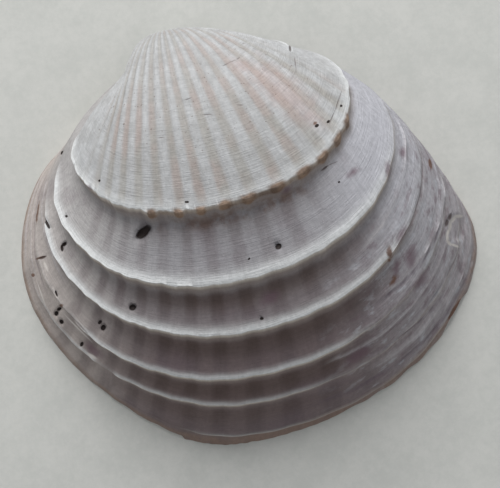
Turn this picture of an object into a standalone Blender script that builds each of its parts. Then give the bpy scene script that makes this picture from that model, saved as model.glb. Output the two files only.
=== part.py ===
"""A worn left valve of a large venus clam, one solid, lying on its margin with the outside up.

The valve is built as it grew. Each stage of growth is a margin, the closed outline of the shell's edge
at that age. A young margin is a smaller outline through the beak, turned up about the hinge line, so the
margins from the beak to the adult edge sweep out the outside of the valve. Old margins that stood up as
frills are worn down to ledges. The inside is a smooth bowl, and between them lies the flat edge on which
the two valves met.

Axes: +X is towards the back (posterior) end, +Y towards the hinge, +Z out of the valve. All the values
below are in millimetres and degrees, and share is a stage's size divided by the adult's.
"""

import math

import bmesh
import bpy
import numpy as np
from mathutils import Matrix, Vector

MM = 0.001
NAME = "valve"

# The margin, as direction and distance from the beak, from the front (lunule) corner round the lower
# edge to the back (escutcheon) corner. The young one is drawn at adult size.
ADULT_MARGIN = [
    (-141.0, 14.0), (-146.5, 26.1), (-135.5, 41.2), (-123.0, 49.8), (-112.0, 55.6), (-102.5, 60.5),
    (-93.0, 63.4), (-78.5, 63.8), (-63.0, 63.1), (-49.5, 59.6), (-41.3, 52.3),
]
YOUNG_MARGIN = [
    (-148.0, 17.0), (-143.0, 32.5), (-131.5, 49.3), (-119.0, 58.8), (-108.5, 64.3), (-97.5, 66.4),
    (-86.5, 67.3), (-70.5, 68.8), (-53.2, 67.8), (-38.0, 61.8), (-27.0, 51.8),
]
YOUNG_SHARE = 0.55
LUNULE_SPAN = 0.0525
MARGIN_SPAN = 0.072
ESCUTCHEON_SPAN = 0.2

# How far the margin's plane has turned about the hinge line since the beak began.
TURN = math.radians(142.0)
TURN_POWER = 0.49

# The ledges: the share at which each runs and the depth of its step, both at five places along the margin,
# and the stretch of the margin along which it stands out. Past its ends is a low growth line of the depth
# given last. The first is a break on the back of the young shell alone.
LEDGE_PLACES = np.array([0.20, 0.325, 0.45, 0.575, 0.70])
LEDGES = [
    {"shares": (0.378, 0.378, 0.378, 0.378, 0.378), "depths": (1.1, 1.1, 1.1, 1.1, 1.1),
     "stretch": (0.72, 0.86), "line": 0.0},
    {"shares": (0.522, 0.516, 0.516, 0.515, 0.512), "depths": (2.0, 2.0, 2.0, 1.9, 0.9),
     "stretch": (0.13, 0.85), "line": 0.2},
    {"shares": (0.655, 0.642, 0.645, 0.646, 0.645), "depths": (1.8, 1.8, 1.8, 1.7, 0.4),
     "stretch": (0.14, 0.73), "line": 0.2},
    {"shares": (0.752, 0.737, 0.736, 0.742, 0.745), "depths": (1.7, 1.7, 1.7, 1.6, 0.3),
     "stretch": (0.16, 0.69), "line": 0.2},
    {"shares": (0.852, 0.838, 0.826, 0.833, 0.838), "depths": (1.3, 1.3, 1.3, 1.1, 0.3),
     "stretch": (0.22, 0.63), "line": 0.2},
    {"shares": (0.932, 0.904, 0.886, 0.898, 0.912), "depths": (0.9, 0.9, 0.9, 0.6, 0.3),
     "stretch": (0.20, 0.60), "line": 0.2},
    {"shares": (0.985, 0.980, 0.968, 0.983, 0.975), "depths": (0.5, 0.5, 0.5, 0.5, 0.4),
     "stretch": (0.38, 0.70), "line": 0.2},
]
DEEPEST = 2.0
LEDGE_FADE = 0.05
LINE_STRETCH = (0.12, 0.82)
FACE_SHARE = 0.20
BAND_STEPS = (0.0, 0.06, 0.20, 0.45, 0.75)
LAST_BAND_STEPS = (0.0, 0.3)
UMBO_SHARES = (0.03, 0.08, 0.15, 0.23, 0.31, 0.378)

# Ribs that run from the beak to the edge, counted from one near the middle.
RIB_PITCH = 0.0335
RIB_TOP = 0.4127
FIRST_RIB, LAST_RIB = -8, 11
RIB_FROM, RIB_TO = 0.16, 0.76
RIB_HEIGHT = 0.30
BAND_RIB_HEIGHT = 0.07
SCALLOP = 0.0012
COLUMNS_PER_RIB = 4
LUNULE_COLUMNS = (0.02, 0.045, 0.07, 0.095, 0.12)
ESCUTCHEON_COLUMNS = (0.80, 0.825, 0.85, 0.875, 0.90, 0.925, 0.95, 0.975)

# The chip out of the lower back edge, and the stretch of the lower edge whose last fringe is broken off.
CHIP_AT, CHIP_HALF_WIDTH, CHIP_DEPTH = 0.678, 0.014, 0.010
FRINGE_FROM, FRINGE_TO, FRINGE_DEPTH = 0.30, 0.436, 0.0065

# The bowl inside the valve: its middle, how far it reaches from there in twelve even directions from +X
# round through the hinge, its height, and how full its sides are below and towards the hinge.
BOWL_CENTRE = np.array([3.0, -27.0])
BOWL_REACH = (27.0, 16.6, 13.6, 15.4, 17.8, 22.6, 28.3, 30.6, 32.4, 33.4, 35.0, 36.9)
BOWL_HEIGHT = 17.5
BOWL_STEPS = (1.0, 0.97, 0.90, 0.78, 0.62, 0.42, 0.20)
BOWL_POWER, BOWL_HINGE_POWER = 1.9, 4.4

# Sockets of the hinge, cut between its three teeth: direction from the beak, start, length and width.
SOCKETS = [(-54.0, 4.2, 6.4, 1.8), (-84.0, 3.2, 5.2, 2.2), (-120.0, 3.6, 4.8, 1.6)]
SOCKET_DEPTH = 1.6

# Holes bored by worms and sponges: place along the margin, share, diameter and second diameter in mm.
BORE_HOLES = [
    (0.366, 0.557, 1.1, 1.6),
    (0.542, 0.612, 0.7, 0.7),
    (0.355, 0.706, 0.8, 0.8),
    (0.314, 0.792, 0.8, 0.8),
    (0.226, 0.710, 0.7, 1.1),
    (0.250, 0.874, 0.9, 1.3),
    (0.261, 0.892, 0.8, 0.8),
    (0.580, 0.720, 0.7, 0.8),
]
BORE_DEPTH = 0.9
BORE_SIDES = 8
CUTTER_REACH = 0.6

SHARP_ANGLE = math.radians(40.0)
SHELL_COLOUR = (0.60, 0.56, 0.55, 1.0)


def natural_spline(knots, points):
    """The natural cubic spline through the points, as a function of the place along the knots."""
    gaps = np.diff(knots)
    count = len(knots)
    system = np.eye(count)
    right = np.zeros_like(points)
    for i in range(1, count - 1):
        system[i, i - 1 : i + 2] = gaps[i - 1], 2 * (gaps[i - 1] + gaps[i]), gaps[i]
        rise_after = (points[i + 1] - points[i]) / gaps[i]
        rise_before = (points[i] - points[i - 1]) / gaps[i - 1]
        right[i] = 6 * (rise_after - rise_before)
    bend = np.linalg.solve(system, right)

    def at(places):
        places = np.asarray(places, float)
        i = np.clip(np.searchsorted(knots, places) - 1, 0, count - 2)
        gap = gaps[i][..., None]
        before = (knots[i + 1] - places)[..., None]
        after = (places - knots[i])[..., None]
        cubic = (bend[i] * before**3 + bend[i + 1] * after**3) / (6 * gap)
        low = (points[i] / gap - bend[i] * gap / 6) * before
        high = (points[i + 1] / gap - bend[i + 1] * gap / 6) * after
        return cubic + low + high

    return at


def margin_curve(margin):
    """The closed outline of a margin, which starts and ends at the beak."""
    directions, distances = np.array(margin).T
    across = np.radians(directions)
    x = distances * np.cos(across)
    y = distances * np.sin(across)
    points = np.vstack([[0.0, 0.0], np.column_stack([x, y]), [0.0, 0.0]])
    spans = [LUNULE_SPAN] * 2 + [MARGIN_SPAN] * (len(margin) - 2) + [ESCUTCHEON_SPAN]
    knots = np.concatenate([[0.0], np.cumsum(spans)])
    return natural_spline(knots / knots[-1], points)


ADULT = margin_curve(ADULT_MARGIN)
YOUNG = margin_curve(YOUNG_MARGIN)


def smooth_step(value):
    value = np.clip(value, 0.0, 1.0)
    return value * value * (3.0 - 2.0 * value)


def window(places, low, high, fade):
    """One between low and high, and falling smoothly to zero outside them."""
    return smooth_step((places - low) / fade) * smooth_step((high - places) / fade)


def growth(place, share):
    """The smooth outside: a point of the margin of that share, in its own turned plane."""
    place, share = np.broadcast_arrays(np.asarray(place, float), np.asarray(share, float))
    youth = np.clip((1.0 - share) / (1.0 - YOUNG_SHARE), 0.0, 1.0)[..., None]
    flat = (ADULT(place) * (1.0 - youth) + YOUNG(place) * youth) * share[..., None]
    turn = TURN * (1.0 - share**TURN_POWER)
    x, y = flat[..., 0], flat[..., 1]
    return np.stack([x, y * np.cos(turn), -y * np.sin(turn)], axis=-1)


def outward(place, share):
    """The unit normal of the smooth outside."""
    nudge = 1e-4
    along = growth(place + nudge, share) - growth(place - nudge, share)
    older = growth(place, share + nudge) - growth(place, share - nudge)
    normal = np.cross(older, along)
    return normal / np.linalg.norm(normal, axis=-1, keepdims=True)


def rib_wave(place):
    """One on top of a rib and minus one between two ribs."""
    wave = np.cos(2.0 * math.pi * (place - RIB_TOP) / RIB_PITCH)
    return wave * window(place, RIB_FROM, RIB_TO, RIB_PITCH)


def ledge_share(ledge, place):
    """The share at which the ledge runs, scalloped by the ribs."""
    shares = np.array(ledge["shares"])[:, None]
    inside = np.clip(place, LEDGE_PLACES[0], LEDGE_PLACES[-1])
    run = natural_spline(LEDGE_PLACES, shares)(inside)[..., 0]
    return run + SCALLOP * rib_wave(place) * np.interp(place, LEDGE_PLACES, ledge["depths"]) / DEEPEST


def ledge_depth(ledge, place):
    """The height of the ledge's step, which past the ledge's ends is a low growth line."""
    depth = np.interp(place, LEDGE_PLACES, ledge["depths"])
    step = (depth - ledge["line"]) * window(place, *ledge["stretch"], LEDGE_FADE)
    return step + ledge["line"] * window(place, *LINE_STRETCH, LEDGE_FADE)


def edge_share(place):
    """The share of the edge itself, which is 1 but for the chip and the broken fringe."""
    chip = CHIP_DEPTH * smooth_step(1.5 - abs(place - CHIP_AT) / CHIP_HALF_WIDTH)
    fringe = smooth_step((place - FRINGE_FROM) / 0.04) * smooth_step((FRINGE_TO - place) / 0.006)
    return 1.0 - chip - FRINGE_DEPTH * fringe


def band_hollow(step):
    """How much of the step's depth is left across a band: a steep face, then a rise to the next ledge."""
    return smooth_step(step / FACE_SHARE) * (1.0 - step * step)


def hollow_depth(place, share):
    """How far the outside lies under the smooth one at a point."""
    starts = [ledge_share(ledge, place) for ledge in LEDGES] + [1.0]
    number = sum(start < share for start in starts) - 1
    if number < 0:
        return 0.0
    step = (share - starts[number]) / (starts[number + 1] - starts[number])
    return ledge_depth(LEDGES[number], place) * band_hollow(step)


def outside_rows(places):
    """Every row of the outside from the beak to the edge, as points for each place along the margin."""
    rows = []
    first = ledge_share(LEDGES[0], places)
    for share in UMBO_SHARES[:-1]:
        shares = first * share / UMBO_SHARES[-1]
        lift = RIB_HEIGHT * share * rib_wave(places)
        rows.append(growth(places, shares) + outward(places, shares) * lift[:, None])
    for number, ledge in enumerate(LEDGES):
        last = number == len(LEDGES) - 1
        start = ledge_share(ledge, places)
        end = edge_share(places) if last else ledge_share(LEDGES[number + 1], places)
        depth = ledge_depth(ledge, places)
        for step in LAST_BAND_STEPS if last else BAND_STEPS:
            shares = start + (end - start) * step
            rib_height = BAND_RIB_HEIGHT if number else RIB_HEIGHT * shares
            lift = rib_height * rib_wave(places) - depth * band_hollow(step)
            rows.append(growth(places, shares) + outward(places, shares) * lift[:, None])
    rows.append(growth(places, edge_share(places)))
    return rows


def bowl_rows(places):
    """The rows of the bowl, from the inner line of the flat edge to its middle, and its top point."""
    out = ADULT(places) - BOWL_CENTRE
    direction = np.arctan2(out[:, 1], out[:, 0])
    turns = np.linspace(-2.0 * math.pi, 2.0 * math.pi, 2 * len(BOWL_REACH) + 1)
    reaches = np.array(BOWL_REACH + BOWL_REACH + BOWL_REACH[:1])[:, None]
    reach = natural_spline(turns, reaches)(direction)
    inner = reach * np.column_stack([np.cos(direction), np.sin(direction)])
    towards_hinge = np.clip(np.sin(direction), 0.0, 1.0)
    power = BOWL_POWER + (BOWL_HINGE_POWER - BOWL_POWER) * towards_hinge
    rows = []
    for step in BOWL_STEPS:
        height = BOWL_HEIGHT * (1.0 - step**power)
        rows.append(np.column_stack([BOWL_CENTRE + inner * step, height]))
    return rows, np.append(BOWL_CENTRE, BOWL_HEIGHT)


def join_rows(bm, before, after, closed):
    """Faces between two rows, which meet themselves again if they are closed."""
    count = len(before)
    for i in range(count if closed else count - 1):
        j = (i + 1) % count
        bm.faces.new((before[i], after[i], after[j], before[j]))


def build_valve(beak, places):
    """The whole valve as one closed mesh, drawn from the beak."""
    bm = bmesh.new()
    hinge = bm.verts.new((0.0, 0.0, 0.0))
    outside = [[bm.verts.new(point * MM) for point in row] for row in outside_rows(places)]
    for before, after in zip(outside, outside[1:]):
        join_rows(bm, before, after, closed=False)
        bm.faces.new((hinge, after[0], before[0]))
        bm.faces.new((hinge, before[-1], after[-1]))
    first = outside[0]
    for one, other in zip(first, first[1:]):
        bm.faces.new((hinge, one, other))

    with_hinge = np.concatenate([[0.0], places])
    rows, top = bowl_rows(with_hinge)
    bowl = [[bm.verts.new(point * MM) for point in row] for row in rows]
    join_rows(bm, [hinge] + outside[-1], bowl[0], closed=True)
    for before, after in zip(bowl, bowl[1:]):
        join_rows(bm, before, after, closed=True)
    top_point = bm.verts.new(Vector(top * MM))
    for i, point in enumerate(bowl[-1]):
        bm.faces.new((point, top_point, bowl[-1][(i + 1) % len(bowl[-1])]))

    bmesh.ops.triangulate(bm, faces=bm.faces)
    bmesh.ops.recalc_face_normals(bm, faces=bm.faces)
    mesh = bpy.data.meshes.new(NAME)
    bm.to_mesh(mesh)
    bm.free()
    mesh.shade_smooth()
    mesh.set_sharp_from_angle(angle=SHARP_ANGLE)
    valve = bpy.data.objects.new(NAME, mesh)
    bpy.context.scene.collection.objects.link(valve)
    valve.parent = beak
    return valve


def centre_valve(beak, valve):
    """Puts the beak where the middle of the valve's length and height falls on the origin."""
    points = np.array([vertex.co for vertex in valve.data.vertices])
    middle = 0.5 * (points.min(axis=0) + points.max(axis=0))
    beak.location = (-middle[0], -middle[1], 0.0)


def cut_away(valve, bm, name):
    """Makes the bmesh a hidden cutter and takes it out of the valve."""
    bmesh.ops.recalc_face_normals(bm, faces=bm.faces)
    mesh = bpy.data.meshes.new(name)
    bm.to_mesh(mesh)
    bm.free()
    cutter = bpy.data.objects.new(name, mesh)
    bpy.context.scene.collection.objects.link(cutter)
    cutter.parent = valve.parent
    cutter.hide_render = True
    cutter.display_type = "WIRE"
    cut = valve.modifiers.new(name, "BOOLEAN")
    cut.operation = "DIFFERENCE"
    cut.object = cutter


def cut_bore_hole(valve, number, place, share, narrow, wide):
    """A short oval plug sunk into the outside along its normal."""
    point = growth(place, share)
    axis = Vector(outward(place, share))
    depth = hollow_depth(place, share)
    bm = bmesh.new()
    bmesh.ops.create_cone(
        bm,
        cap_ends=True,
        segments=BORE_SIDES,
        radius1=0.5 * narrow * MM,
        radius2=0.5 * narrow * MM,
        depth=(BORE_DEPTH + CUTTER_REACH) * MM,
    )
    bmesh.ops.scale(bm, vec=(1.0, wide / narrow, 1.0), verts=bm.verts)
    turn = Vector((0.0, 0.0, 1.0)).rotation_difference(axis)
    bmesh.ops.rotate(bm, cent=(0.0, 0.0, 0.0), matrix=turn.to_matrix(), verts=bm.verts)
    middle = Vector(point) - axis * (depth + 0.5 * (BORE_DEPTH - CUTTER_REACH))
    bmesh.ops.translate(bm, vec=middle * MM, verts=bm.verts)
    cut_away(valve, bm, f"bore_hole_{number}")


def cut_socket(valve, number, direction, start, length, width):
    """A slot in the hinge plate that radiates from the beak."""
    bm = bmesh.new()
    bmesh.ops.create_cube(bm, size=MM)
    bmesh.ops.scale(bm, vec=(length, width, SOCKET_DEPTH + CUTTER_REACH), verts=bm.verts)
    away = (start + 0.5 * length) * MM
    up = 0.5 * (SOCKET_DEPTH - CUTTER_REACH) * MM
    bmesh.ops.translate(bm, vec=(away, 0.0, up), verts=bm.verts)
    turn = Matrix.Rotation(math.radians(direction), 3, "Z")
    bmesh.ops.rotate(bm, cent=(0.0, 0.0, 0.0), matrix=turn, verts=bm.verts)
    cut_away(valve, bm, f"socket_{number}")


def shell_material():
    material = bpy.data.materials.new("worn_shell")
    material.use_nodes = True
    surface = material.node_tree.nodes["Principled BSDF"]
    surface.inputs["Base Color"].default_value = SHELL_COLOUR
    surface.inputs["Roughness"].default_value = 0.6
    surface.inputs["Metallic"].default_value = 0.0
    return material


def main():
    for old in list(bpy.data.objects):
        bpy.data.objects.remove(old)
    beak = bpy.data.objects.new("beak", None)
    bpy.context.scene.collection.objects.link(beak)
    ribbed = RIB_TOP + RIB_PITCH * np.arange(FIRST_RIB, LAST_RIB, 1.0 / COLUMNS_PER_RIB)
    places = np.concatenate([LUNULE_COLUMNS, ribbed, ESCUTCHEON_COLUMNS])
    valve = build_valve(beak, places)
    centre_valve(beak, valve)
    valve.data.materials.append(shell_material())
    for number, hole in enumerate(BORE_HOLES, start=1):
        cut_bore_hole(valve, number, *hole)
    for number, socket in enumerate(SOCKETS, start=1):
        cut_socket(valve, number, *socket)


main()
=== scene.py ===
"""The looks of a worn left valve of a large venus clam, which lies on its margin with the outside up.

All sizes are in millimetres until a mesh is made. A place is how far round the margin a point lies, from
the front side of the beak (0) along the lower edge to its back side (1). A share is the size of the shell
when that point was its edge, divided by its size now.
"""

import math

import bpy
import numpy as np
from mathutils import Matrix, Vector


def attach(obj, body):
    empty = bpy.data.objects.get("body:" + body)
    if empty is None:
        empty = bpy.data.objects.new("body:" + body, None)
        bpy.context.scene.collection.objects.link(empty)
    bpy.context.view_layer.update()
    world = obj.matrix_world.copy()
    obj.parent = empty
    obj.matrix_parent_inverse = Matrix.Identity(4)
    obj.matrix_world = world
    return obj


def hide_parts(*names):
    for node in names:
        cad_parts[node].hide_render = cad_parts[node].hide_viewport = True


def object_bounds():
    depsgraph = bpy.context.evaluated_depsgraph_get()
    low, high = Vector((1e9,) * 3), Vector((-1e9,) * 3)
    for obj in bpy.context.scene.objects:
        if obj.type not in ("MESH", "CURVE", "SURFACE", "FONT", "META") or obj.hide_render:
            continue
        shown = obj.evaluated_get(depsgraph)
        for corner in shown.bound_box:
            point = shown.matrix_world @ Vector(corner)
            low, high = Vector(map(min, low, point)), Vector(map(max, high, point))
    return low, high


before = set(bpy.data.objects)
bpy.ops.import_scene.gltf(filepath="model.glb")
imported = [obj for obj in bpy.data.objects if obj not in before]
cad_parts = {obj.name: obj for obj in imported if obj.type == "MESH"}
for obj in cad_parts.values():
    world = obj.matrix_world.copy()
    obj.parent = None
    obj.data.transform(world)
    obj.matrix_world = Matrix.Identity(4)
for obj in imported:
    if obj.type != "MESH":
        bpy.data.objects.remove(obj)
cad_low, cad_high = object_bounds()

# The valve: one piece of shell that grew at its edge, ring after ring, turning up about the hinge line as
# it went. Its frills are broken down to ledges, its outside is rubbed and bored, and its inside is smooth.
# It stands for the CAD solid of the same form and rests on the flat edge that met the other valve.

MM = 0.001
ADULT_MARGIN = [
    (-141.0, 14.0), (-146.5, 26.1), (-135.5, 41.2), (-123.0, 49.8), (-112.0, 55.6), (-102.5, 60.5),
    (-93.0, 63.4), (-78.5, 63.8), (-63.0, 63.1), (-49.5, 59.6), (-41.3, 52.3),
]
YOUNG_MARGIN = [
    (-148.0, 17.0), (-143.0, 32.5), (-131.5, 49.3), (-119.0, 58.8), (-108.5, 64.3), (-97.5, 66.4),
    (-86.5, 67.3), (-70.5, 68.8), (-53.2, 67.8), (-38.0, 61.8), (-27.0, 51.8),
]
YOUNG_SHARE = 0.55
LUNULE_SPAN, MARGIN_SPAN, ESCUTCHEON_SPAN = 0.0525, 0.072, 0.2
TURN = math.radians(142.0)
TURN_POWER = 0.49
MM_PER_SHARE = 94.0
# How much slimmer the young shell is at the front, as a share of its x from the beak: the height, middle and
# width of a hump of place for its side and of a hump of share for its dome, the most, and the last share.
SLIM_SIDE = (0.38, 0.08, 0.052)
SLIM_DOME = (0.28, 0.26, 0.13)
SLIM_MOST, SLIM_UNTIL = 0.45, 0.60

# The ledges in order of growth: the break at the young shell's back end, the young shell's edge, the four
# below it, and the fringe. Each has shares and depths in mm at LEDGE_PLACES, the stretch of places on which
# it stands, the depth of the growth line past its ends, and the reach of its worn face in mm. One has a gap.
LEDGE_PLACES = np.array([0.20, 0.325, 0.45, 0.575, 0.70])
LEDGES = [
    {"shares": (0.378, 0.378, 0.378, 0.378, 0.378), "depths": (1.4, 1.4, 1.4, 1.4, 1.4),
     "stretch": (0.73, 0.85), "line": 0.0, "reach": 1.1},
    {"shares": (0.522, 0.516, 0.516, 0.515, 0.512), "depths": (2.0, 2.0, 2.0, 1.9, 0.9),
     "stretch": (0.13, 0.85), "line": 0.2, "reach": 2.9},
    {"shares": (0.655, 0.642, 0.645, 0.646, 0.645), "depths": (1.8, 1.8, 1.8, 1.7, 0.4),
     "stretch": (0.14, 0.73), "line": 0.2, "reach": 4.2},
    {"shares": (0.752, 0.737, 0.736, 0.742, 0.745), "depths": (1.7, 1.7, 1.7, 1.6, 0.3),
     "stretch": (0.16, 0.69), "line": 0.2, "reach": 4.2},
    {"shares": (0.852, 0.838, 0.826, 0.833, 0.838), "depths": (1.3, 1.3, 1.3, 1.1, 0.3),
     "stretch": (0.26, 0.61), "line": 0.2, "reach": 3.6},
    {"shares": (0.932, 0.904, 0.886, 0.898, 0.912), "depths": (0.9, 0.9, 0.9, 0.6, 0.3),
     "stretch": (0.20, 0.58), "line": 0.2, "reach": 2.8, "gap": (0.310, 0.342)},
    {"shares": (0.985, 0.980, 0.968, 0.983, 0.975), "depths": (0.5, 0.5, 0.5, 0.5, 0.4),
     "stretch": (0.42, 0.70), "line": 0.0, "reach": 1.4},
]
DEEPEST = 2.0
LEDGE_FADE = 0.05
LINE_STRETCH = (0.12, 0.82)
# The worn face of a ledge in section, from its crest down to its foot: share of its reach and of its depth.
FACE = np.array([
    (0.00, 0.00), (0.05, 0.03), (0.12, 0.09), (0.24, 0.22),
    (0.38, 0.42), (0.55, 0.66), (0.74, 0.87), (1.00, 1.00),
])
# Brown lumps that are left of the young shell's frill, by place, their width by place and reach by share.
LUMPS = (0.383, 0.430, 0.467, 0.500, 0.528, 0.560, 0.590, 0.617, 0.645, 0.673)
LUMP_WIDTH, LUMP_REACH = 0.0105, 0.0052
# Each ledge's white crest in mm, partly its pale worn edge and partly painted highlight, how far a crest
# flares out in mm and over what share, and a band's hollow.
CREST_WIDTHS = (0.6, 0.9, 1.3, 1.0, 0.6, 0.45, 0.3)
FLARE, FLARE_REACH = 0.34, 0.012
HOLLOW_POWER = 1.8

# The chip out of the lower back edge, the stretch whose last fringe is broken off, the lobes behind it and
# the fraying, as places and shares.
CHIP_AT, CHIP_HALF_WIDTH, CHIP_DEPTH = 0.678, 0.014, 0.010
FRINGE_FROM, FRINGE_TO, FRINGE_DEPTH = 0.30, 0.436, 0.0065
LOBE_AT, LOBE_PITCH, LOBE_DEPTH = 0.588, 0.0225, 0.0026
BREAK_DEPTH, FRAY_DEPTH = 0.0012, 0.0009

# Where the grooves between the ribs run, and the ribs' heights in mm on the young shell and on the bands.
GROOVES = np.array([
    0.145, 0.175, 0.205, 0.236, 0.268, 0.300, 0.331, 0.363, 0.396, 0.436, 0.472, 0.505, 0.533, 0.563, 0.592,
    0.622, 0.652, 0.684, 0.717, 0.750, 0.783,
])
YOUNG_RIB, BAND_RIB = 0.14, 0.05

# Growth lines that stand out at both ends: share at place 0.60 and at 0.70, half width in mm, the stretch.
PALE_LINES = [
    (0.796, 0.826, 0.30, 0.60, 0.78),
    (0.865, 0.872, 0.26, 0.55, 0.72),
    (0.926, 0.948, 0.60, 0.585, 0.70),
    (0.944, 0.958, 0.28, 0.65, 0.76),
    (0.700, 0.690, 0.24, 0.60, 0.78),
    (0.800, 0.800, 0.30, 0.12, 0.25),
    (0.905, 0.905, 0.30, 0.11, 0.22),
    (0.960, 0.960, 0.40, 0.10, 0.20),
]
DARK_LINES = [
    (0.803, 0.834, 0.26, 0.60, 0.78),
    (0.746, 0.748, 0.30, 0.62, 0.78),
    (0.954, 0.976, 0.34, 0.54, 0.72),
    (0.894, 0.944, 0.20, 0.58, 0.68),
    (0.882, 0.916, 0.24, 0.63, 0.72),
    (0.880, 0.880, 0.30, 0.11, 0.24),
    (0.935, 0.935, 0.26, 0.11, 0.22),
]
# In mm: how high the pale lines stand and how deep the dark ones lie, the rings at the least and what the
# back end adds to them, and the broad swells.
PALE_HEIGHT, DARK_DEPTH = 0.16, 0.14
RING_HEIGHT, BACK_RING_HEIGHT = 0.015, 0.06
SWELL_HEIGHT = 0.09

# Holes in the outside, as seen from above: middle x and y, length and width, turn in degrees from +X, depth.
HOLES = [
    (-14.2, 2.8, 2.3, 1.20, 30, 1.0),
    (4.4, -3.4, 0.8, 0.68, 37, 0.7),
    (-0.1, -4.2, 0.4, 0.25, 41, 0.2),
    (-7.0, 5.6, 0.55, 0.28, -12, 0.2),
    (-18.3, -7.5, 0.85, 0.78, -10, 0.7),
    (-23.6, -9.6, 0.8, 0.66, 49, 0.6),
    (-23.9, -8.7, 0.6, 0.45, 38, 0.3),
    (-27.0, 3.3, 0.9, 0.38, 86, 0.5),
    (-26.6, 3.8, 0.8, 0.42, 29, 0.5),
    (-28.6, 7.4, 1.6, 0.38, -75, 0.3),
    (-30.6, -6.1, 0.7, 0.55, 60, 0.7),
    (-29.9, -5.5, 0.8, 0.45, 17, 0.5),
    (-30.1, -7.5, 0.65, 0.52, -72, 0.6),
    (-27.8, -11.5, 0.7, 0.40, 56, 0.4),
    (-0.2, -13.1, 0.5, 0.40, -2, 0.4),
    (17.9, 14.7, 0.35, 0.3, 40, 0.2),
    (15.4, 12.7, 0.5, 0.32, 35, 0.2),
    (13.6, 12.4, 0.6, 0.38, 19, 0.3),
    (15.0, 3.8, 0.3, 0.28, 24, 0.2),
    (-29.7, -3.1, 0.9, 0.26, -83, 0.3),
    (-18.8, 11.5, 0.3, 0.30, -62, 0.2),
    (-25.1, 7.7, 0.35, 0.32, -61, 0.2),
    (-24.4, 17.6, 0.6, 0.45, 47, 0.3),
]
# Where a flake has come off the back, and the marks on the outside, one list for each colour, as seen from
# above, like the holes.
FLAKE = (31.9, -6.6, 4.6, 3.4, 78, 0.35)
CRACKS = [
    (2.7, 24.1, 1.0, 0.13, 18), (3.8, 24.4, 1.1, 0.13, 6), (4.7, 24.7, 0.8, 0.14, 33),
    (12.8, 22.4, 1.9, 0.20, 82), (17.6, 15.4, 2.8, 0.13, 58), (16.1, 13.2, 2.4, 0.13, 55),
    (14.6, 6.6, 1.6, 0.18, 12), (3.4, 17.6, 1.0, 0.14, -15), (-1.4, 17.2, 1.2, 0.14, -8),
    (-3.6, 20.1, 0.9, 0.14, 10), (-8.6, 15.4, 1.0, 0.13, -5), (-27.3, -8.3, 5.4, 0.26, -58),
]
CREVICES = [
    (12.7, 25.2, 1.1, 0.30, 83), (13.4, 6.2, 1.1, 0.26, 25),
    (30.9, -4.7, 1.1, 0.50, 48), (30.2, -5.5, 1.1, 0.55, 61),
    (-30.7, 2.6, 1.2, 0.34, 5),
]
PALE_MARKS = [
    (32.4, -4.9, 1.6, 0.50, -12), (31.4, -5.2, 1.5, 0.58, 38), (30.7, -6.0, 1.7, 0.60, 69),
    (30.1, -6.9, 1.3, 0.50, 51), (29.8, -7.7, 1.3, 0.46, 80), (29.9, -8.5, 1.1, 0.44, -56),
    (30.8, -9.1, 1.6, 0.36, -30), (-26.6, -13.6, 1.5, 0.46, -41), (-27.7, -8.9, 5.2, 0.24, -58),
    (-32.3, -2.7, 3.3, 0.26, -83), (-29.8, -3.0, 1.8, 0.24, -77), (-30.4, 1.2, 1.6, 0.34, -79),
]
RUST_MARKS = [
    (20.2, -8.0, 2.4, 1.10, 88), (20.0, -8.9, 0.9, 0.90, -58), (20.1, -12.0, 2.1, 1.10, 47),
    (-29.4, -5.1, 1.0, 0.60, 17), (-31.0, 2.7, 2.4, 0.40, 2), (-33.0, 0.4, 0.7, 0.60, -12),
    (-30.0, 9.7, 3.6, 0.40, 70), (29.6, 3.6, 1.8, 0.50, 85), (13.4, 12.8, 1.0, 0.80, 19),
    (29.6, -18.8, 5.6, 1.30, 39),
]
MAUVE_MARKS = [
    (22.5, -5.6, 3.2, 1.30, 51), (23.4, -9.6, 3.6, 1.60, 72), (24.1, -13.1, 4.2, 1.50, 51),
    (25.6, 6.3, 2.2, 1.30, 78), (22.6, 4.1, 2.6, 1.20, 74), (-20.4, 10.8, 1.3, 0.70, -52),
    (7.2, 4.2, 1.8, 0.90, 17), (1.6, -10.4, 3.4, 2.00, 30), (-26.3, -12.6, 3.6, 1.40, -54),
    (17.4, 4.8, 2.2, 1.20, 24), (20.8, -10.4, 3.0, 1.20, 70), (12.6, -22.0, 4.6, 1.80, 22),
]
PINK_MARKS = [(10.0, 18.3, 15.0, 5.40, -53), (13.1, 13.9, 5.0, 3.20, -52), (5.0, 23.6, 4.6, 2.60, -46)]

# Rows of points before the first ledge and in each band, columns round the margin, and where the ribs run.
UMBO_ROWS, BAND_ROWS = 32, 12
RIBBED_COLUMNS, LUNULE_COLUMNS, ESCUTCHEON_COLUMNS = 380, 44, 56
RIBBED_FROM, RIBBED_TO = 0.14, 0.80


def natural_spline(knots, points):
    """The natural cubic through the points: its bend changes evenly between knots and ends at zero."""
    gaps = np.diff(knots)
    count = len(knots)
    system = np.eye(count)
    right = np.zeros_like(points)
    for i in range(1, count - 1):
        system[i, i - 1 : i + 2] = gaps[i - 1], 2 * (gaps[i - 1] + gaps[i]), gaps[i]
        rise_after = (points[i + 1] - points[i]) / gaps[i]
        rise_before = (points[i] - points[i - 1]) / gaps[i - 1]
        right[i] = 6 * (rise_after - rise_before)
    bend = np.linalg.solve(system, right)

    def at(places):
        i = np.clip(np.searchsorted(knots, places) - 1, 0, count - 2)
        gap = gaps[i][..., None]
        before = (knots[i + 1] - places)[..., None]
        after = (places - knots[i])[..., None]
        cubic = (bend[i] * before**3 + bend[i + 1] * after**3) / (6 * gap)
        low = (points[i] / gap - bend[i] * gap / 6) * before
        high = (points[i + 1] / gap - bend[i + 1] * gap / 6) * after
        return cubic + low + high

    return at


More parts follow.
